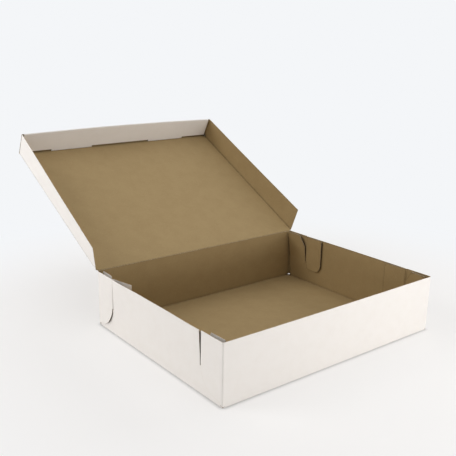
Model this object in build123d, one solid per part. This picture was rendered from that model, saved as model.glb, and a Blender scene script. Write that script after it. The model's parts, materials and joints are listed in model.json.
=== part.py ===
from build123d import *
import os
from math import cos, radians, sin, tan

# Board, in millimetres: white clay-coated face outside, bare kraft face inside
board = 0.8
layer_gap = 0.3          # air between two layers of board that lie together
crease_radius = 1.4      # outside radius of a scored fold
corner_radius = 2.6      # outside radius of the softer upright corner folds
overrun = 5.0            # how far a cutting shape reaches past what it cuts

# Tray, outside sizes
tray_width = 470.0
tray_depth = 366.0
tray_height = 101.6

# Lock corners: the end tab of the front or back wall goes round the outside of the
# side wall's end and through a slit in the side wall, to spring open inside the tray
slit_distance = 55.0     # from the corner to the far side of the slit
slit_width = 4.0
mouth_width = 14.0       # the slit's mouth opens towards the corner by this much
tab_length = 99.0        # from the corner, along the wall
foot_run = 14.0          # where the tab's lower edge turns up into its round
foot_rise = 9.0          # height of the lower edge at that place
turn_run = 3.5           # length of wall over which the tab crosses the slit
turn_radius = 3.0
hook_inset = 1.5         # near edge of the tab's inner end, past the slit
hook_radius = 18.0       # lower free corner of the tab's inner end
heel_radius = 4.0        # its other lower corner
end_clearance = 4.5      # from a side wall's end to the wall it faces
end_lean = 6.5           # degrees that a side wall's end leans in above the slit's foot
end_rise = 4.0           # height over which that lean begins
end_radius = 12.0
slit_depth_share = 0.55  # of the wall's height, down from the rim
hook_depth_share = 0.71
mouth_depth_share = 0.23

# How each tab's inner end rests: degrees that it stands off the side wall, and how far
# it hangs below the rim
hook_rests = {
    ("left", "front"): (2.0, 4.0),
    ("left", "back"): (13.0, 0.0),
    ("right", "front"): (0.5, 0.0),
    ("right", "back"): (3.5, 0.0),
}

# Lid, which closes over the outside of the tray
lid_wall = 46.0          # panel to free edge
lid_side_clearance = 1.5  # lid's side flaps to the tray
lid_front_clearance = 1.5
lid_open = 152.6         # degrees from closed, as the box stands
hinge_gap = 0.3          # rim to the underside of the closed lid
flap_start = 2.0         # from the hinge to the root of a side flap
flap_setback = 12.6      # how much further the flap's free edge starts
flap_lean = 12.6         # degrees that a side flap leans out at its hinge end
inner_end_gap = 3.5      # from the front wall's inner layer to the lid's sides
lip_gap = 3.5            # inner layer's edge to the panel
lock_tab_width = 95.0    # two tabs of the inner layer, held in slots of the panel
lock_tab_spacing = 240.0
lock_tab_play = 0.5
roll_radius = 1.3        # outside radius of the two folds at the front wall's free edge
dust_tab_length = 50.0   # side flap's end tab, caught inside the front wall
dust_tab_trim = 2.0      # that tab is cut this much lower than the wall, top and bottom

half_width = tray_width / 2
half_depth = tray_depth / 2
side_face = half_width - board - layer_gap
side_half = half_depth - board - end_clearance
slit_foot = tray_height * (1 - slit_depth_share)
neck_foot = slit_foot + layer_gap
hook_foot = tray_height * (1 - hook_depth_share)
mouth_foot = tray_height * (1 - mouth_depth_share)
slit_near = slit_distance - slit_width
turn_start = slit_distance - turn_run
root_height = crease_radius + board / 2  # the folds at the foot close the corners up to here
tab_foot = root_height + layer_gap

roll_width = 3 * board + 2 * layer_gap
lid_half = half_width + lid_side_clearance + board
lid_front = half_depth + lid_front_clearance + roll_width
hinge_y = half_depth - board / 2
hinge_z = tray_height + hinge_gap + board / 2
lid_top = hinge_z + board / 2
panel_half = lid_half - 2 * crease_radius
dust_face = lid_front - board - layer_gap


def bent_board(points, radii, side, plane):
    """Section of the board: the points run along its white face, the board lies to one side."""
    white_face = FilletPolyline(*points, radius=radii)
    return plane * make_face(offset(white_face, board, side=side))


def upright_wall(reach, half_length, height, plane):
    """A wall of the tray with the fold at its foot; reach is from the middle to its white face."""
    section = bent_board(
        [(reach - 2 * crease_radius, 0), (reach, 0), (reach, height)], [crease_radius], Side.LEFT, plane
    )
    return extrude(section, half_length, both=True)


def block(low, high):
    """A box between two corners."""
    size = [b - a for a, b in zip(low, high)]
    return Pos(*low) * Box(*size, align=Align.MIN)


def lock_tab(spring, drop):
    """End tab of the front wall, at the corner where x and y are lowest."""
    pass_in = 2 * board + 2 * layer_gap
    hook_length = tab_length - slit_distance
    hook_end = (
        pass_in + hook_length * sin(radians(spring)),
        slit_distance + hook_length * cos(radians(spring)),
    )
    route = [(2 * corner_radius, 0), (0, 0), (0, turn_start), (pass_in, slit_distance), hook_end]
    section = bent_board(route, [corner_radius, turn_radius, turn_radius], Side.RIGHT, Plane.XY)
    strip = extrude(section, tray_height)

    hook_start = slit_distance + hook_inset
    hook_top = tray_height - drop
    edges = [
        Line((0, tray_height), (0, tab_foot)),
        Line((0, tab_foot), (foot_run, foot_rise)),
        TangentArc((turn_start, neck_foot), (foot_run, foot_rise), tangent=(0, -1)),
        FilletPolyline(
            (turn_start, neck_foot),
            (hook_start, neck_foot),
            (hook_start, hook_foot),
            (hook_end[1], hook_foot),
            (hook_end[1], hook_top),
            radius=[0, heel_radius, hook_radius],
        ),
        Polyline((hook_end[1], hook_top), (hook_start, hook_top), (turn_start, tray_height), (0, tray_height)),
    ]
    outline = extrude(Plane.YZ * make_face(edges), tab_length)
    return Pos(-half_width, -half_depth, 0) * (strip & outline)


def side_wall_end():
    """End of the left side wall above the slit's foot, leaning in behind the tab."""
    lean_start = slit_foot + end_rise
    lean_in = (tray_height - lean_start) * tan(radians(end_lean))
    section = bent_board(
        [(0, slit_foot), (0, lean_start), (lean_in, tray_height)], [end_radius], Side.RIGHT, Plane.XZ
    )
    near_end = half_depth - side_half
    plate = extrude(section, slit_near - near_end, dir=(0, 1, 0))
    mouth = Polyline(
        (slit_near - mouth_width, tray_height),
        (slit_near, mouth_foot),
        (slit_near + overrun, mouth_foot),
        (slit_near + overrun, tray_height + overrun),
        (slit_near - mouth_width, tray_height + overrun),
        close=True,
    )
    mouth_cut = extrude(Plane.YZ * make_face(mouth), tray_height)
    plate = Pos(0, near_end, 0) * plate - mouth_cut
    return Pos(-side_face, -half_depth, 0) * plate


def left_side_wall():
    wall = upright_wall(side_face, side_half, tray_height, Plane.XZ)
    wall += upright_wall(side_face, half_depth - crease_radius, root_height, Plane.XZ)
    wall = mirror(wall, Plane.YZ)
    window = block(
        (-half_width, -half_depth, slit_foot),
        (-half_width + overrun, slit_distance - half_depth, tray_height + overrun),
    )
    end = side_wall_end()
    return wall - window - mirror(window, Plane.XZ) + end + mirror(end, Plane.XZ)


def make_tray():
    floor = block(
        (2 * crease_radius - side_face, 2 * crease_radius - half_depth, 0),
        (side_face - 2 * crease_radius, half_depth - 2 * crease_radius, board),
    )
    back = upright_wall(half_depth, half_width - 2 * corner_radius, tray_height, Plane.YZ)
    back += upright_wall(half_depth, side_face - crease_radius, root_height, Plane.YZ)
    side = left_side_wall()
    tray = floor + back + mirror(back, Plane.XZ) + side + mirror(side, Plane.YZ)
    for (across, along), (spring, drop) in hook_rests.items():
        tab = lock_tab(spring, drop)
        if across == "right":
            tab = mirror(tab, Plane.YZ)
        if along == "back":
            tab = mirror(tab, Plane.XZ)
        tray += tab
    return tray


def lid_side_flap():
    """Right side flap of the closed lid: upright at the front, leaning out towards the hinge."""
    rear = hinge_y - flap_start
    front = 2 * crease_radius - lid_front
    sections = []
    for place, lean in ((rear, flap_lean), (front, 0)):
        free_edge = (lid_half + lid_wall * sin(radians(lean)), lid_top - lid_wall * cos(radians(lean)))
        level = Plane((0, place, 0), x_dir=(1, 0, 0), z_dir=(0, -1, 0))
        sections.append(
            bent_board([(panel_half, lid_top), (lid_half, lid_top), free_edge], [crease_radius], Side.RIGHT, level)
        )
    flap = loft(sections, ruled=True)
    rear_cut = make_face(
        Polyline(
            (rear, lid_top),
            (rear - flap_setback, lid_top - lid_wall),
            (rear - flap_setback, lid_top - lid_wall - overrun),
            (rear + overrun, lid_top - lid_wall - overrun),
            (rear + overrun, lid_top),
            close=True,
        )
    )
    flap -= extrude(Plane.YZ * rear_cut, lid_half + lid_wall)

    corner = bent_board(
        [(lid_half, front), (lid_half, -dust_face), (lid_half - dust_tab_length, -dust_face)],
        [crease_radius],
        Side.RIGHT,
        Plane.XY,
    )
    tab_height = lid_wall - 2 * dust_tab_trim
    return flap + Pos(0, 0, lid_top - lid_wall + dust_tab_trim) * extrude(corner, tab_height)


def lid_front_wall():
    """Front wall rolled over to a second layer inside, with two tabs up to the panel."""
    inner_face = roll_width - lid_front
    lip = lid_top - board - lip_gap
    free_edge = lid_top - lid_wall
    section = bent_board(
        [
            (2 * crease_radius - lid_front, lid_top),
            (-lid_front, lid_top),
            (-lid_front, free_edge),
            (inner_face, free_edge),
            (inner_face, lip),
        ],
        [crease_radius, roll_radius, roll_radius],
        Side.LEFT,
        Plane.YZ,
    )
    wall = extrude(section, lid_half, both=True)
    inner_half = lid_half - board - inner_end_gap
    for side in (-1, 1):
        trim = block((inner_half, board - lid_front, free_edge), (lid_half, inner_face, lip))
        wall -= trim if side > 0 else mirror(trim, Plane.YZ)
    for middle in (-lock_tab_spacing / 2, lock_tab_spacing / 2):
        wall += block(
            (middle - lock_tab_width / 2, inner_face - board, lip),
            (middle + lock_tab_width / 2, inner_face, lid_top),
        )
    return wall


def make_lid():
    """The lid as it closes, before it is swung open about the hinge."""
    panel = block(
        (-panel_half, 2 * crease_radius - lid_front, lid_top - board), (panel_half, hinge_y, lid_top)
    )
    hinge_edge = Pos(0, hinge_y, hinge_z) * Rot(0, 90, 0) * Cylinder(board / 2, 2 * panel_half)
    slot_half = lock_tab_width / 2 + lock_tab_play
    inner_face = roll_width - lid_front
    for middle in (-lock_tab_spacing / 2, lock_tab_spacing / 2):
        panel -= block(
            (middle - slot_half, inner_face - board - layer_gap, lid_top - board),
            (middle + slot_half, inner_face + layer_gap, lid_top),
        )
    flap = lid_side_flap()
    return panel + hinge_edge + flap + mirror(flap, Plane.YZ) + lid_front_wall()


tray = make_tray()
lid = make_lid().rotate(Axis((0, hinge_y, hinge_z), (1, 0, 0)), -lid_open)

os.makedirs("parts", exist_ok=True)
for name, piece in (("tray", tray), ("lid", lid)):
    export_step(piece, f"parts/{name}.step")
    print(name, len(piece.solids()), "solid", round(piece.volume), "cubic mm", piece.is_valid)
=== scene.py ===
import json
from math import cos, pi, radians, sin

import bmesh
import bpy
from mathutils import Matrix, Quaternion, Vector, noise
from mathutils.bvhtree import BVHTree
from mathutils.kdtree import KDTree


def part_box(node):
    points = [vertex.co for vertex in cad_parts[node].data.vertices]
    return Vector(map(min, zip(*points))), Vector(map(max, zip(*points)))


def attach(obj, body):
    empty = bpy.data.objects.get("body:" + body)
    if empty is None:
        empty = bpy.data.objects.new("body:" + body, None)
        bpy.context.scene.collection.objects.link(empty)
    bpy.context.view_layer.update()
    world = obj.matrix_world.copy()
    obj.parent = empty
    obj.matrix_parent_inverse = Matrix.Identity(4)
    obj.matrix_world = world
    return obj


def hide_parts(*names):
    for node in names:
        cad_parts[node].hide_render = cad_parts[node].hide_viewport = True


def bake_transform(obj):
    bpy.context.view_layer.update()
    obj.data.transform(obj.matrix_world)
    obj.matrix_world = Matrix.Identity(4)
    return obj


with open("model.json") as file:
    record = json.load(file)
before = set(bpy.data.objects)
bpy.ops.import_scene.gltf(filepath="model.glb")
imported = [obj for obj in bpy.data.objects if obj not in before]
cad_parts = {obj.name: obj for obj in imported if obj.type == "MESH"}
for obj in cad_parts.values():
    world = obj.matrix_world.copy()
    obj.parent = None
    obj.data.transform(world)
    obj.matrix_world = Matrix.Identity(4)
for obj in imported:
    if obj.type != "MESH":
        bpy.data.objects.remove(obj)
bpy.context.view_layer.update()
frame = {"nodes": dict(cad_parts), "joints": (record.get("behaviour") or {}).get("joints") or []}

scene = bpy.context.scene
scene.view_settings.view_transform = "Standard"

trayLow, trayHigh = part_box("tray")
lidHinge = frame["joints"][0]
hingePoint = Vector(lidHinge["pos_m"])
openAngle = -lidHinge["range_deg"][0]  # the closed lid is the joint's lower limit

# what both sheets of the box are cut from
boardSheet = {
    "thickness": 0.0008,
    "cell": 0.012,          # panels are cut into cells this wide, so that they can bow
    "cellShift": 0.00031,   # keeps the cuts off the panels' own edges
    "weld": 1e-6,           # points nearer than this are one point
    "flatTurn": 0.3,        # degrees: faces that turn less than this are one panel
    "foldTurn": 12.0,       # degrees: faces that turn more than this lie on a fold
    "sharpTurn": 60.0,      # degrees: no fold turns this much from one face to the next
    "probe": 1e-5,          # a ray to the sheet's other face starts this far inside
    "depthShares": (0.5, 1.2),  # of the thickness: the other face lies between these
    "backTurn": -0.5,       # the two faces look away from each other by at least this
    "edgeReach": 0.012,     # distances to a cut edge or a fold, for wear and painted shade, are measured up to this far
    "edgeSteps": 6,         # steps along an edge at which it is measured
    "rimReach": (0.0015, 0.0045),  # the painted gap shade is lifted within this depth below the tray's rim, where light gets in between the layers
}
sideNames = ["whiteCoat", "kraftLiner", "cutEdge"]
whiteSide, kraftSide, edgeSide = range(len(sideNames))
shadeSamples = 8            # rays with which the painted shade in gaps and under the box is measured


# node groups and materials

def newGroup(name, inputs, outputs):
    group = bpy.data.node_groups.new(name, "ShaderNodeTree")
    for title, value in inputs.items():
        kind = "NodeSocketVector" if isinstance(value, tuple) else "NodeSocketFloat"
        socket = group.interface.new_socket(title, in_out="INPUT", socket_type=kind)
        socket.default_value = value
    for title in outputs:
        group.interface.new_socket(title, in_out="OUTPUT", socket_type="NodeSocketFloat")
    ins = group.nodes.new("NodeGroupInput")
    outs = group.nodes.new("NodeGroupOutput")
    return group, ins.outputs, outs.inputs


def addNode(tree, kind, values=None, **settings):
    node = tree.nodes.new(kind)
    for key, value in settings.items():
        setattr(node, key, value)
    for key, value in (values or {}).items():
        node.inputs[key].default_value = value
    return node


def feed(tree, socket, value):
    if isinstance(value, bpy.types.NodeSocket):
        tree.links.new(value, socket)
    else:
        socket.default_value = value


def addMath(tree, operation, first, second, clamp=False):
    node = addNode(tree, "ShaderNodeMath", operation=operation, use_clamp=clamp)
    feed(tree, node.inputs[0], first)
    feed(tree, node.inputs[1], second)
    return node.outputs[0]


def addMix(tree, factor, first, second, share=None):
    # a mix node has these sockets when it mixes colours
    if share is not None:
        factor = addMath(tree, "MULTIPLY", factor, share)
    node = addNode(tree, "ShaderNodeMix", data_type="RGBA")
    feed(tree, node.inputs[0], factor)
    feed(tree, node.inputs[6], first)
    feed(tree, node.inputs[7], second)
    return node.outputs[2]


def addRamp(tree, value, low, high):
    node = addNode(tree, "ShaderNodeMapRange", interpolation_type="SMOOTHSTEP")
    feed(tree, node.inputs["Value"], value)
    feed(tree, node.inputs["From Min"], low)
    feed(tree, node.inputs["From Max"], high)
    return node.outputs["Result"]


def addNoise(tree, vector, scale, values, stretch=None):
    if stretch is not None:
        stretched = addNode(tree, "ShaderNodeVectorMath", operation="MULTIPLY")
        feed(tree, stretched.inputs[0], vector)
        feed(tree, stretched.inputs[1], stretch)
        vector = stretched.outputs[0]
    node = addNode(tree, "ShaderNodeTexNoise", values)
    feed(tree, node.inputs["Vector"], vector)
    feed(tree, node.inputs["Scale"], scale)
    return node.outputs["Fac"]


def makeFibreGroup():
    # paper fibres: cloudy formation, long fine streaks and scattered flecks
    form = {
        "cloud": {"Detail": 4.0, "Roughness": 0.6},
        "streak": {"Detail": 3.0, "Roughness": 0.6, "Distortion": 0.4},
        "streakStretch": (0.16, 1.0, 1.0),
        "streakTurns": ((0.3, 0.2, 0.1), (0.9, 1.3, 0.5), (2.0, 0.6, 1.4), (1.1, 2.3, 2.6)),
        "fleck": {"Detail": 1.0, "Distortion": 1.2},
        "fleckStretch": (0.35, 1.0, 1.0),
        "fleckScale": 0.55,  # of the fibres' scale
        "fleckShown": (0.66, 0.74),
    }
    group, ins, outs = newGroup(
        "paperFibres",
        {"Vector": (0, 0, 0), "Cloud Scale": 40.0, "Fibre Scale": 900.0, "Fleck Amount": 0.3},
        ["Cloud", "Fibre", "Fleck"],
    )
    link = group.links.new
    link(addNoise(group, ins["Vector"], ins["Cloud Scale"], form["cloud"]), outs["Cloud"])

    # fibres lie in several directions, so that no weave shows
    streaks = []
    for turn in form["streakTurns"]:
        lie = addNode(group, "ShaderNodeVectorRotate", {"Rotation": turn}, rotation_type="EULER_XYZ")
        link(ins["Vector"], lie.inputs["Vector"])
        along = lie.outputs["Vector"]
        streaks.append(addNoise(group, along, ins["Fibre Scale"], form["streak"], form["streakStretch"]))
    first = addMath(group, "MAXIMUM", streaks[0], streaks[1])
    second = addMath(group, "MAXIMUM", streaks[2], streaks[3])
    both = addMath(group, "ADD", first, second)
    link(addMath(group, "MULTIPLY", both, 0.5), outs["Fibre"])

    scale = addMath(group, "MULTIPLY", ins["Fibre Scale"], form["fleckScale"])
    fleck = addNoise(group, ins["Vector"], scale, form["fleck"], form["fleckStretch"])
    shown = addRamp(group, fleck, *form["fleckShown"])
    link(addMath(group, "MULTIPLY", shown, ins["Fleck Amount"]), outs["Fleck"])
    return group


def makeWearAndShadeGroup():
    # masks near cut edges and folds, broken up by noise: they carry rubbed board, and on folds also
    # painted shade
    form = {"noise": {"Detail": 5.0, "Roughness": 0.7}, "shown": (0.32, 0.62)}
    group, ins, outs = newGroup(
        "rubbedAndShadedEdges",
        {"Vector": (0, 0, 0), "Edge Width": 0.0015, "Fold Width": 0.0015, "Break Up": 260.0},
        ["Edge", "Fold"],
    )
    rough = addNoise(group, ins["Vector"], ins["Break Up"], form["noise"])
    patchy = addRamp(group, rough, *form["shown"])
    for title in ("Edge", "Fold"):
        distance = addNode(group, "ShaderNodeAttribute", attribute_name=title.lower() + "Distance")
        share = addMath(group, "DIVIDE", distance.outputs["Fac"], ins[title + " Width"])
        near = addMath(group, "SUBTRACT", 1.0, share, clamp=True)
        group.links.new(addMath(group, "MULTIPLY", near, patchy), outs[title])
    return group


def makeGapGroup():
    # painted shade: the base colour darkens where ambient occlusion finds board close by, since hardly any
    # light reaches in between two layers of board that lie close together
    group, ins, outs = newGroup(
        "paintedShadeBetweenLayers", {"Reach": 0.010, "Closed": 0.08, "Open": 0.58, "At Rim": 1.0}, ["Gap"]
    )
    around = addNode(group, "ShaderNodeAmbientOcclusion", only_local=True, samples=shadeSamples)
    group.links.new(ins["Reach"], around.inputs["Distance"])
    free = addRamp(group, around.outputs["AO"], ins["Closed"], ins["Open"])
    paintedGapShade = addMath(group, "SUBTRACT", 1.0, free)
    rimDepth = addNode(group, "ShaderNodeAttribute", attribute_name="rimDepth")
    deep = addRamp(group, rimDepth.outputs["Fac"], *boardSheet["rimReach"])
    kept = addMath(group, "MAXIMUM", deep, ins["At Rim"])
    group.links.new(addMath(group, "MULTIPLY", paintedGapShade, kept), outs["Gap"])
    return group


fibreGroup = makeFibreGroup()
wearAndShadeGroup = makeWearAndShadeGroup()
paintedGapShadeGroup = makeGapGroup()


def newMaterial(name):
    material = bpy.data.materials.new(name)
    material.use_nodes = True
    tree = material.node_tree
    shader = tree.nodes["Principled BSDF"]
    place = addNode(tree, "ShaderNodeTexCoord").outputs["Object"]
    return material, tree, shader, place


def placeGroup(tree, group, values, place=None):
    node = addNode(tree, "ShaderNodeGroup", node_tree=group)
    for key, value in values.items():
        node.inputs[key].default_value = value
    if place is not None:
        tree.links.new(place, node.inputs["Vector"])
    return node.outputs


def finishBoard(tree, shader, look, colour, fibre, grain=None):
    # painted shade in the gaps, roughness that may follow the grain, and the fibres' relief
    paintedGapShade = placeGroup(tree, paintedGapShadeGroup, look["paintedShadeSettings"])["Gap"]
    # painted shade: the base colour is mixed towards a near-black colour where other board lies close by
    feed(tree, shader.inputs["Base Color"], addMix(tree, paintedGapShade, colour, look["paintedGapShade"]))
    roughness = look["roughness"]
    if grain is not None:
        added = addMath(tree, "MULTIPLY", grain, look["grainRoughness"])
        roughness = addMath(tree, "ADD", added, roughness)
    feed(tree, shader.inputs["Roughness"], roughness)
    shader.inputs["Specular IOR Level"].default_value = look["specular"]
    bump = addNode(tree, "ShaderNodeBump", look["bump"])
    tree.links.new(fibre, bump.inputs["Height"])
    tree.links.new(bump.outputs["Normal"], shader.inputs["Normal"])


def makeWhiteCoat():
    look = {
        "white": (0.864, 0.824, 0.786, 1),
        "grey": (0.815, 0.765, 0.715, 1),
        "rubbed": (0.70, 0.63, 0.55, 1),
        "crushedAndFoldShade": (0.50, 0.48, 0.455, 1),
        "paintedGapShade": (0.05, 0.042, 0.033, 1),
        "fibres": {"Cloud Scale": 55.0, "Fibre Scale": 1300.0, "Fleck Amount": 0.08},
        "wearAndShade": {"Edge Width": 0.0009, "Fold Width": 0.0034, "Break Up": 420.0},
        "paintedShadeSettings": {"Closed": 0.14, "Open": 0.50, "At Rim": 0.0},
        "cloudShown": (0.35, 0.75),
        "cloudShare": 0.3,
        "edgeShare": 0.5,
        "roughness": 0.36,
        "grainRoughness": 0.25,
        "specular": 0.42,
        "bump": {"Strength": 0.10, "Distance": 0.00012},
    }
    material, tree, shader, place = newMaterial("whiteCoat")
    fibres = placeGroup(tree, fibreGroup, look["fibres"], place)
    wearAndShade = placeGroup(tree, wearAndShadeGroup, look["wearAndShade"], place)
    cloud = addRamp(tree, fibres["Cloud"], *look["cloudShown"])
    colour = addMix(tree, cloud, look["white"], look["grey"], look["cloudShare"])
    colour = addMix(tree, fibres["Fleck"], colour, look["grey"])
    # darker grey along folds: partly crushed board, partly painted shade of the rounded fold and of its
    # contact with the floor
    colour = addMix(tree, wearAndShade["Fold"], colour, look["crushedAndFoldShade"])
    colour = addMix(tree, wearAndShade["Edge"], colour, look["rubbed"], look["edgeShare"])
    finishBoard(tree, shader, look, colour, fibres["Fibre"], fibres["Cloud"])
    return material


def makeKraftLiner():
    look = {
        "kraft": (0.385, 0.272, 0.125, 1),
        "dark": (0.325, 0.219, 0.094, 1),
        "light": (0.462, 0.332, 0.165, 1),
        "scoreAndCreaseShade": (0.165, 0.107, 0.045, 1),
        "darkNearCutEdges": (0.17, 0.115, 0.045, 1),
        "paintedGapShade": (0.035, 0.022, 0.009, 1),
        "fibres": {"Cloud Scale": 38.0, "Fibre Scale": 760.0, "Fleck Amount": 0.45},
        "wearAndShade": {"Edge Width": 0.0020, "Fold Width": 0.0020, "Break Up": 330.0},
        "paintedShadeSettings": {"Reach": 0.013, "Open": 0.74},
        "cloudShown": (0.3, 0.72),
        "cloudShare": 0.4,
        "streakShown": (0.52, 0.68),
        "streakShare": 0.5,
        "foldShare": 0.8,
        "edgeShare": 0.8,
        "roughness": 0.72,
        "grainRoughness": 0.2,
        "specular": 0.45,
        "bump": {"Strength": 0.3, "Distance": 0.00018},
    }
    material, tree, shader, place = newMaterial("kraftLiner")
    fibres = placeGroup(tree, fibreGroup, look["fibres"], place)
    wearAndShade = placeGroup(tree, wearAndShadeGroup, look["wearAndShade"], place)
    cloud = addRamp(tree, fibres["Cloud"], *look["cloudShown"])
    colour = addMix(tree, cloud, look["kraft"], look["dark"], look["cloudShare"])
    streak = addRamp(tree, fibres["Fibre"], *look["streakShown"])
    colour = addMix(tree, streak, colour, look["light"], look["streakShare"])
    colour = addMix(tree, fibres["Fleck"], colour, look["dark"])
    # a dark line along folds: partly the score, partly painted crease shade
    colour = addMix(tree, wearAndShade["Fold"], colour, look["scoreAndCreaseShade"], look["foldShare"])
    # kraft darkens within a couple of millimetres of any cut edge, also on board lying near another
    # layer's edge
    colour = addMix(tree, wearAndShade["Edge"], colour, look["darkNearCutEdges"], look["edgeShare"])
    finishBoard(tree, shader, look, colour, fibres["Fibre"], fibres["Fibre"])
    return material


def makeCutEdge():
    look = {
        "pulp": (0.47, 0.38, 0.27, 1),
        "pale": (0.64, 0.56, 0.46, 1),
        "paintedGapShade": (0.06, 0.045, 0.03, 1),
        "fibres": {"Cloud Scale": 240.0, "Fibre Scale": 1500.0, "Fleck Amount": 0.4},
        "paintedShadeSettings": {"Closed": 0.20, "Open": 0.85},
        "cloudShown": (0.35, 0.65),
        "roughness": 0.9,
        "specular": 0.2,
        "bump": {"Strength": 0.5, "Distance": 0.0002},
    }
    material, tree, shader, place = newMaterial("cutEdge")
    fibres = placeGroup(tree, fibreGroup, look["fibres"], place)
    cloud = addRamp(tree, fibres["Cloud"], *look["cloudShown"])
    colour = addMix(tree, cloud, look["pulp"], look["pale"])
    colour = addMix(tree, fibres["Fleck"], colour, look["pulp"])
    finishBoard(tree, shader, look, colour, fibres["Fibre"])
    return material


boardMaterials = [makeWhiteCoat(), makeKraftLiner(), makeCutEdge()]
print("materials", [m.name for m in boardMaterials])


# the two folded sheets

def cutIntoCells(bm):
    size = boardSheet["cell"]
    for axis in range(3):
        along = Vector((0, 0, 0))
        along[axis] = 1
        low = min(v.co[axis] for v in bm.verts)
        high = max(v.co[axis] for v in bm.verts)
        for step in range(int(low / size) - 1, int(high / size) + 2):
            parts = bm.verts[:] + bm.edges[:] + bm.faces[:]
            where = along * (step * size + boardSheet["cellShift"])
            bmesh.ops.bisect_plane(bm, geom=parts, dist=boardSheet["weld"], plane_co=where, plane_no=along)


def sortSides(bm, outside):
    # a face of the sheet has the sheet's other face close behind it, and a cut edge has not;
    # the faces then fall into two sides, which meet only at sharp corners
    bm.normal_update()
    bm.faces.ensure_lookup_table()
    bm.faces.index_update()
    tree = BVHTree.FromBMesh(bm)
    thin, thick = (boardSheet["thickness"] * share for share in boardSheet["depthShares"])
    sharp = radians(boardSheet["sharpTurn"])
    for face in bm.faces:
        inside = face.calc_center_median() - face.normal * boardSheet["probe"]
        _, behind, _, depth = tree.ray_cast(inside, -face.normal)
        isBacked = depth is not None and thin < depth < thick
        isSheet = isBacked and behind.dot(face.normal) < boardSheet["backTurn"]
        face.material_index = kraftSide if isSheet else edgeSide
    start = min((f for f in bm.faces if f.material_index == kraftSide), key=outside)
    start.material_index = whiteSide
    reached = [start]
    while reached:
        face = reached.pop()
        for edge in face.edges:
            if len(edge.link_faces) != 2 or edge.calc_face_angle() > sharp:
                continue
            for other in edge.link_faces:
                if other.material_index == kraftSide:
                    other.material_index = whiteSide
                    reached.append(other)


def nearestDistance(bm, marks):
    reach = boardSheet["edgeReach"]
    tree = KDTree(max(len(marks), 1))
    for i, co in enumerate(marks):
        tree.insert(co, i)
    tree.balance()
    return [min(tree.find(v.co)[2] if marks else reach, reach) for v in bm.verts]


def markEdgeAndFoldDistance(bm):
    # how far each point lies from a cut edge and from a fold, for the materials
    bm.normal_update()
    steps = boardSheet["edgeSteps"]
    edgeMarks = []
    foldMarks = []
    for edge in bm.edges:
        if len(edge.link_faces) != 2:
            continue
        first, second = (f.material_index for f in edge.link_faces)
        start, end = (v.co.copy() for v in edge.verts)
        between = [start.lerp(end, t / steps) for t in range(steps + 1)]
        if (first == edgeSide) != (second == edgeSide):
            edgeMarks.extend(between)
        elif first == second != edgeSide and edge.calc_face_angle() > radians(boardSheet["foldTurn"]):
            foldMarks.extend(between)
    return {"edgeDistance": nearestDistance(bm, edgeMarks), "foldDistance": nearestDistance(bm, foldMarks)}


def smoothSides(mesh):
    # folds are shaded round and panels flat: a corner takes the mean, by area, of its own side's faces
    limit = cos(radians(boardSheet["sharpTurn"]))
    around = [[] for _ in mesh.vertices]
    for face in mesh.polygons:
        for i in face.vertices:
            around[i].append((face.normal.copy(), face.area, face.material_index))
    normals = []
    for face in mesh.polygons:
        for i in face.vertices:
            total = Vector((0, 0, 0))
            for normal, area, side in around[i]:
                if side == face.material_index and normal.dot(face.normal) > limit:
                    total += normal * area
            normals.append(total.normalized())
    mesh.shade_smooth()
    mesh.normals_split_custom_set(normals)


def makePiece(mesh, name, distances):
    for title, values in distances.items():
        layer = mesh.attributes.new(title, "FLOAT", "POINT")
        layer.data.foreach_set("value", values)
    for material in boardMaterials:
        mesh.materials.append(material)
    smoothSides(mesh)
    piece = bpy.data.objects.new(name, mesh)
    scene.collection.objects.link(piece)
    counts = [sum(p.material_index == i for p in mesh.polygons) for i in range(len(sideNames))]
    print(name, len(mesh.polygons), "faces", dict(zip(sideNames, counts)))
    return piece


def makeSheet(node, name, swing, outside, bow, belowRim):
    bm = bmesh.new()
    bm.from_mesh(frame["nodes"][node].data)
    flat = radians(boardSheet["flatTurn"])
    bmesh.ops.remove_doubles(bm, verts=bm.verts, dist=boardSheet["weld"])
    bmesh.ops.dissolve_limit(bm, angle_limit=flat, verts=bm.verts, edges=bm.edges)
    bm.transform(swing.inverted())
    cutIntoCells(bm)
    sortSides(bm, outside)
    distances = markEdgeAndFoldDistance(bm)
    distances["rimDepth"] = [belowRim(v.co) for v in bm.verts]
    for vert in bm.verts:
        vert.co += bow(vert.co)
    bm.transform(swing)
    mesh = bpy.data.meshes.new(name)
    bm.to_mesh(mesh)
    bm.free()
    sheet = makePiece(mesh, name, distances)
    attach(sheet, node)
    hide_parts(node)


def smoothStep(value, low, high):
    share = min(max((value - low) / (high - low), 0), 1)
    return share * share * (3 - 2 * share)


rippleSeed = 7              # the board ripples alike in every run
noise.seed_set(rippleSeed)


def ripple(co, amount, scale):
    return noise.noise_vector(co * scale) * amount


# where the layers of a lock corner lie: the tab outside, the side wall and the tab's inner end
lockCorner = {
    "slit": 0.055,          # from the corner, along the side wall
    "slitSlack": 1e-5,
    "slitFoot": 0.0457,
    "tabLength": 0.099,
    "wallEnd": 0.004,       # the side wall begins this far from the corner
    "tabIn": 0.00095,       # the tab's faces are nearer than this to the tray's side
    "wallIn": 0.00205,      # the side wall's faces are nearer than this
}

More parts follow.
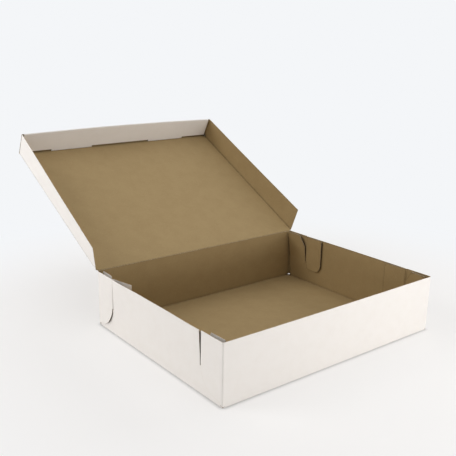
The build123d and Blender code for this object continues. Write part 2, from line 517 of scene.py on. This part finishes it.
# how far the board has sprung out of true
trayBow = {
    "front": 0.0013,
    "left": 0.0015,
    "right": 0.0012,
    "leanReach": 0.1,
    "liftFrom": 0.003,
    "liftTo": 0.045,
    "curlRise": 0.035,
    "ripple": 0.00014,
    "rippleScale": 14.0,
    "hingeReach": 0.03,     # the ripple fades out this near to the back wall
    "hingeFrom": 0.06,      # and from this height up
    "hingeRim": 0.004,      # so that there is none this near to the hinge
}
cornerBow = {
    # lean: the wall outwards beside its slit; lift: the tab's lower edge outwards; curl: the wall's end
    # inwards; tip: the top of that end further inwards; spring: the tab's inner end inwards
    ("left", "front"): {"lean": 0.0024, "lift": 0.0, "curl": 0.0010, "tip": 0.0, "spring": 0.0},
    ("left", "back"): {"lean": 0.0021, "lift": 0.0028, "curl": 0.0015, "tip": 0.0, "spring": 0.0},
    ("right", "front"): {"lean": 0.0003, "lift": 0.0003, "curl": 0.0010, "tip": 0.0030, "spring": 0.0040},
    ("right", "back"): {"lean": 0.0, "lift": 0.0005, "curl": 0.0, "tip": 0.0045, "spring": 0.0},
}


def layerAt(co):
    # which layer of a lock corner a point of a side wall or of its tabs belongs to
    fromCorner = trayHigh.y - abs(co.y)
    depth = trayHigh.x - abs(co.x)
    if fromCorner > lockCorner["slit"] - lockCorner["slitSlack"]:
        return "tabEnd" if depth > lockCorner["wallIn"] else "wall"
    if depth < lockCorner["tabIn"]:
        return "tab"
    atSlit = fromCorner > trayBow["liftTo"] and co.z > lockCorner["slitFoot"]
    inSlit = atSlit and depth < lockCorner["wallIn"]
    return "turn" if fromCorner < lockCorner["wallEnd"] or inSlit else "wallEnd"


def belowTrayRim(co):
    if abs(co.y) < trayHigh.y - 2 * boardSheet["thickness"] and layerAt(co) in ("tabEnd", "wallEnd"):
        return min(trayHigh.z - co.z, boardSheet["edgeReach"])
    return boardSheet["edgeReach"]


def bowSide(co, side):
    # how far a point of a side wall or of its tabs moves outwards
    corner = cornerBow[side, "back" if co.y > 0 else "front"]
    fromCorner = trayHigh.y - abs(co.y)
    high = max(co.z / trayHigh.z, 0)
    slit = lockCorner["slit"]
    layer = layerAt(co)
    if layer == "turn":
        return 0
    if layer == "tabEnd":
        return -corner["spring"] * (fromCorner - slit) / (lockCorner["tabLength"] - slit)
    if layer == "wall":
        middle = trayBow[side] * high ** 2 * (1 - (co.y / (trayHigh.y - slit)) ** 2)
        near = 1 - smoothStep(fromCorner - slit, 0, trayBow["leanReach"])
        return middle + corner["lean"] * smoothStep(co.z, lockCorner["slitFoot"], trayHigh.z) * near
    if layer == "tab":
        away = smoothStep(fromCorner, trayBow["liftFrom"], trayBow["liftTo"])
        turn = 1 - smoothStep(fromCorner, trayBow["liftTo"], slit)
        return corner["lift"] * (1 - high) * away * turn
    along = smoothStep(slit - fromCorner, 0, slit)
    rise = smoothStep(co.z, boardSheet["thickness"], trayBow["curlRise"])
    return -along * (corner["curl"] * rise + corner["tip"] * high)


def bowTray(co):
    high = max(co.z / trayHigh.z, 0)
    wall = 2 * boardSheet["thickness"]
    shift = Vector((0, 0, 0))
    if co.y < trayLow.y + wall:
        shift.y = -trayBow["front"] * high ** 2 * (1 - (co.x / trayHigh.x) ** 2)
    elif co.y < trayHigh.y - wall and co.z > wall:
        side = "right" if co.x > 0 else "left"
        shift.x = bowSide(co, side) * (1 if side == "right" else -1)
    atBack = smoothStep(co.y, trayHigh.y - trayBow["hingeReach"], trayHigh.y)
    atHinge = atBack * smoothStep(co.z, trayBow["hingeFrom"], trayHigh.z - trayBow["hingeRim"])
    wave = ripple(co, trayBow["ripple"] * (1 - atHinge), trayBow["rippleScale"])
    wave.z = abs(wave.z) if co.z < wall else 0
    return shift + wave


lidBow = {
    "panel": 0.0012,        # bulge to the white side
    "twist": 0.0060,        # front left corner, to the white side
    "edge": 0.0020,         # free edge at the two front corners, away from the panel
    "strip": 0.0033,        # the front wall's free edge further out at its middle
    "ripple": 0.0002,
    "rippleScale": 12.0,
    "hingeFade": 0.08,      # of the lid's length: the ripple fades out this near to the hinge
    "wall": 0.0456,         # from the hinge's height to the free edge
}


def bowLid(co):
    # in the closed lid's place
    reach = hingePoint.y - trayLow.y
    along = (hingePoint.y - co.y) / reach
    across = co.x / trayHigh.x
    shift = Vector((0, 0, lidBow["twist"] * max(along, 0) * (1 - across) / 2))
    if co.z > hingePoint.z - boardSheet["thickness"]:
        shift.z += lidBow["panel"] * sin(pi * min(max(along, 0), 1)) * max(1 - across ** 2, 0)
    drop = max((hingePoint.z - co.z) / lidBow["wall"], 0)
    shift.z -= lidBow["edge"] * drop * max(along, 0) ** 3
    if co.y < trayLow.y - boardSheet["thickness"]:
        shift.z -= lidBow["strip"] * drop * max(1 - across ** 2, 0)
    fade = smoothStep(along, 0, lidBow["hingeFade"])
    return shift + ripple(co, lidBow["ripple"] * fade, lidBow["rippleScale"])


def faceHeight(face):
    return face.calc_center_median().z


farOff = boardSheet["edgeReach"]
toHinge = Matrix.Translation(hingePoint)
lidSwing = toHinge @ Matrix.Rotation(radians(-openAngle), 4, "X") @ toHinge.inverted()
makeSheet("tray", "traySheet", Matrix.Identity(4), faceHeight, bowTray, belowTrayRim)
makeSheet("lid", "lidSheet", lidSwing, lambda face: -faceHeight(face), bowLid, lambda co: farOff)


# the scored fold that the lid turns on: it bends between the two sheets
hingeCrease = {
    "half": 0.2318,
    "leg": 0.0030,          # how far it lies along each sheet
    "bend": 0.0011,         # from the hinge to where the bend begins
    "proud": 0.00005,       # each face stands this far off the sheets' own
    "steps": 6,
}


def makeHingeCrease():
    along = lidSwing.to_3x3() @ Vector((0, -1, 0))
    up = Vector((0, 0, 1))
    rim = hingePoint - up * hingeCrease["bend"]
    root = hingePoint + along * hingeCrease["bend"]
    path = [rim - up * hingeCrease["leg"]]
    for step in range(hingeCrease["steps"] + 1):
        t = step / hingeCrease["steps"]
        path.append(rim.lerp(hingePoint, t).lerp(hingePoint.lerp(root, t), t))
    path.append(root + along * hingeCrease["leg"])

    off = boardSheet["thickness"] / 2 + hingeCrease["proud"]
    kraftLine = []
    whiteLine = []
    for i, point in enumerate(path):
        ahead = (path[min(i + 1, len(path) - 1)] - path[max(i - 1, 0)]).normalized()
        aside = Vector((0, -ahead.z, ahead.y)) * off
        kraftLine.append(point + aside)
        whiteLine.append(point - aside)
    ring = kraftLine + whiteLine[::-1]
    ringSides = [kraftSide] * len(path) + [whiteSide] * len(path)
    ringSides[len(path) - 1] = edgeSide
    ringSides[-1] = edgeSide

    bm = bmesh.new()
    columns = round(2 * hingeCrease["half"] / boardSheet["cell"])
    rows = []
    for column in range(columns + 1):
        x = hingeCrease["half"] * (2 * column / columns - 1)
        rows.append([bm.verts.new((x, p.y, p.z)) for p in ring])
    for low, high in zip(rows, rows[1:]):
        for i, side in enumerate(ringSides):
            j = (i + 1) % len(ring)
            bm.faces.new((low[i], high[i], high[j], low[j])).material_index = side
    for row in (rows[0], rows[-1]):
        for i in range(len(path) - 1):
            j = len(ring) - 1 - i
            bm.faces.new((row[i], row[i + 1], row[j - 1], row[j])).material_index = edgeSide
    bmesh.ops.recalc_face_normals(bm, faces=bm.faces)
    mesh = bpy.data.meshes.new("hingeCrease")
    bm.to_mesh(mesh)
    bm.free()
    far = [farOff] * len(mesh.vertices)
    fromFold = [(v.co - hingePoint).yz.length for v in mesh.vertices]
    distances = {"edgeDistance": far, "foldDistance": fromFold, "rimDepth": far}
    crease = makePiece(mesh, "hingeCrease", distances)
    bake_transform(crease)


makeHingeCrease()


# stage, light and camera

stageLook = {
    "floor": (0.85, 0.835, 0.81, 1),
    "seenFloor": (0.985, 0.975, 0.965, 1),
    "near": (0.975, 0.955, 0.940, 1),
    "far": (0.905, 0.92, 0.94, 1),
    "nearShare": 0.5,       # of the seen colour beside the box: the rest is lit, and keeps the shadow
    "reach": (0.30, 0.85),
    "half": 9.0,
    "contactReach": 0.007,  # the shade under the box's foot fades out over this much of the floor
    "contactClosed": 0.45,  # the share of open sky at which that shade is deepest
    "contactShade": 0.30,
}


def seenRays(tree):
    rays = addNode(tree, "ShaderNodeLightPath")
    seen = addMath(tree, "MAXIMUM", rays.outputs["Is Camera Ray"], rays.outputs["Is Glossy Ray"])
    return addMath(tree, "MAXIMUM", seen, rays.outputs["Is Transmission Ray"])


def mixShaders(tree, factor, first, second, out):
    mix = addNode(tree, "ShaderNodeMixShader")
    tree.links.new(factor, mix.inputs[0])
    tree.links.new(first.outputs[0], mix.inputs[1])
    tree.links.new(second.outputs[0], mix.inputs[2])
    tree.links.new(mix.outputs[0], addNode(tree, out).inputs["Surface"])


def makeStage():
    size = stageLook["half"]
    corners = [(-size, -size, 0), (size, -size, 0), (size, size, 0), (-size, size, 0)]
    mesh = bpy.data.meshes.new("paleFloor")
    mesh.from_pydata(corners, [], [(0, 1, 2, 3)])
    floor = bpy.data.objects.new("paleFloor", mesh)
    scene.collection.objects.link(floor)
    material = bpy.data.materials.new("paleFloor")
    material.use_nodes = True
    tree = material.node_tree
    tree.nodes.clear()
    place = addNode(tree, "ShaderNodeTexCoord").outputs["Object"]
    length = addNode(tree, "ShaderNodeVectorMath", operation="LENGTH")
    tree.links.new(place, length.inputs[0])
    away = addRamp(tree, length.outputs["Value"], *stageLook["reach"])
    seen = seenRays(tree)
    diffuse = addNode(tree, "ShaderNodeBsdfDiffuse")
    feed(tree, diffuse.inputs["Color"], addMix(tree, seen, stageLook["floor"], stageLook["seenFloor"]))
    # painted shadow: the seen glow darkens where ambient occlusion finds the box's foot close by
    contact = {"Distance": stageLook["contactReach"]}
    around = addNode(tree, "ShaderNodeAmbientOcclusion", contact, samples=shadeSamples)
    lowest = {"From Min": stageLook["contactClosed"], "To Min": stageLook["contactShade"]}
    shade = addNode(tree, "ShaderNodeMapRange", lowest)
    tree.links.new(around.outputs["AO"], shade.inputs["Value"])
    glow = addNode(tree, "ShaderNodeEmission")
    feed(tree, glow.inputs["Strength"], shade.outputs["Result"])
    feed(tree, glow.inputs["Color"], addMix(tree, away, stageLook["near"], stageLook["far"]))
    near = stageLook["nearShare"]
    share = addMath(tree, "ADD", addMath(tree, "MULTIPLY", away, 1 - near), near)
    mixShaders(tree, addMath(tree, "MULTIPLY", seen, share), diffuse, glow, "ShaderNodeOutputMaterial")
    mesh.materials.append(material)


worldLook = {"light": (1, 1, 1, 1), "strength": 0.22}


def makeWorld():
    world = bpy.data.worlds.new("studio")
    scene.world = world
    world.use_nodes = True
    tree = world.node_tree
    tree.nodes.clear()
    lit = {"Color": worldLook["light"], "Strength": worldLook["strength"]}
    soft = addNode(tree, "ShaderNodeBackground", lit)
    seen = addNode(tree, "ShaderNodeBackground", {"Color": stageLook["far"], "Strength": 1.0})
    mixShaders(tree, seenRays(tree), soft, seen, "ShaderNodeOutputWorld")


softBoxes = {
    "topLight": {
        "place": (0.1, 0.1, 2.2), "aim": (0, 0.1, 0.1), "size": (2.2, 2.2), "power": 13.9,
    },
    "rightLight": {
        "place": (2.0, 0.0, 0.8), "aim": (0, 0, 0.1), "size": (1.8, 1.8), "power": 19.0,
    },
    "leftLight": {
        "place": (-2.2, 0.2, 1.2), "aim": (0, 0, 0.1), "size": (1.6, 1.6), "power": 6.0,
    },
    "leftHighLight": {
        "place": (-1.8, 1.3, 1.6), "aim": (0, 0, 0.1), "size": (0.9, 0.9), "power": 15.5,
    },
    "leftLowLight": {
        "place": (-1.8, 0.8, 0.14), "aim": (-0.235, 0, 0.07), "size": (1.4, 0.22), "power": 9.0,
    },
    "frontLight": {
        "place": (0.3, -1.05, 0.3), "aim": (0.05, -0.18, 0.05), "size": (0.6, 0.6), "power": 1.3,
    },
    "frontLowLight": {
        "place": (0.3, -1.1, 0.14), "aim": (0.05, -0.18, 0.07), "size": (0.9, 0.22), "power": 4.5,
    },
}


def makeLights():
    for name, box in softBoxes.items():
        lamp = bpy.data.lights.new(name, "AREA")
        lamp.shape = "RECTANGLE"
        lamp.size, lamp.size_y = box["size"]
        lamp.energy = box["power"]
        light = bpy.data.objects.new(name, lamp)
        light.location = box["place"]
        aim = Vector(box["aim"]) - light.location
        light.rotation_euler = aim.to_track_quat("-Z", "Y").to_euler()
        scene.collection.objects.link(light)


photoCamera = {
    "place": (-0.76062, -0.85295, 0.50196),
    "aim": (-0.01308, 0.09139, 0.16742),
    "roll": 1.083,
    "focalPixels": 676.5,
    "imagePixels": 456,
    "sensor": 36.0,
}


def makeCamera():
    data = bpy.data.cameras.new("photoCamera")
    data.sensor_fit = "HORIZONTAL"
    data.sensor_width = photoCamera["sensor"]
    data.lens = photoCamera["focalPixels"] / photoCamera["imagePixels"] * photoCamera["sensor"]
    camera = bpy.data.objects.new("photoCamera", data)
    place = Vector(photoCamera["place"])
    look = (Vector(photoCamera["aim"]) - place).to_track_quat("-Z", "Y")
    camera.rotation_mode = "QUATERNION"
    camera.rotation_quaternion = look @ Quaternion((0, 0, 1), radians(photoCamera["roll"]))
    camera.location = place
    scene.collection.objects.link(camera)
    scene.camera = camera


makeStage()
makeWorld()
makeLights()
makeCamera()
print("stage, light and camera")
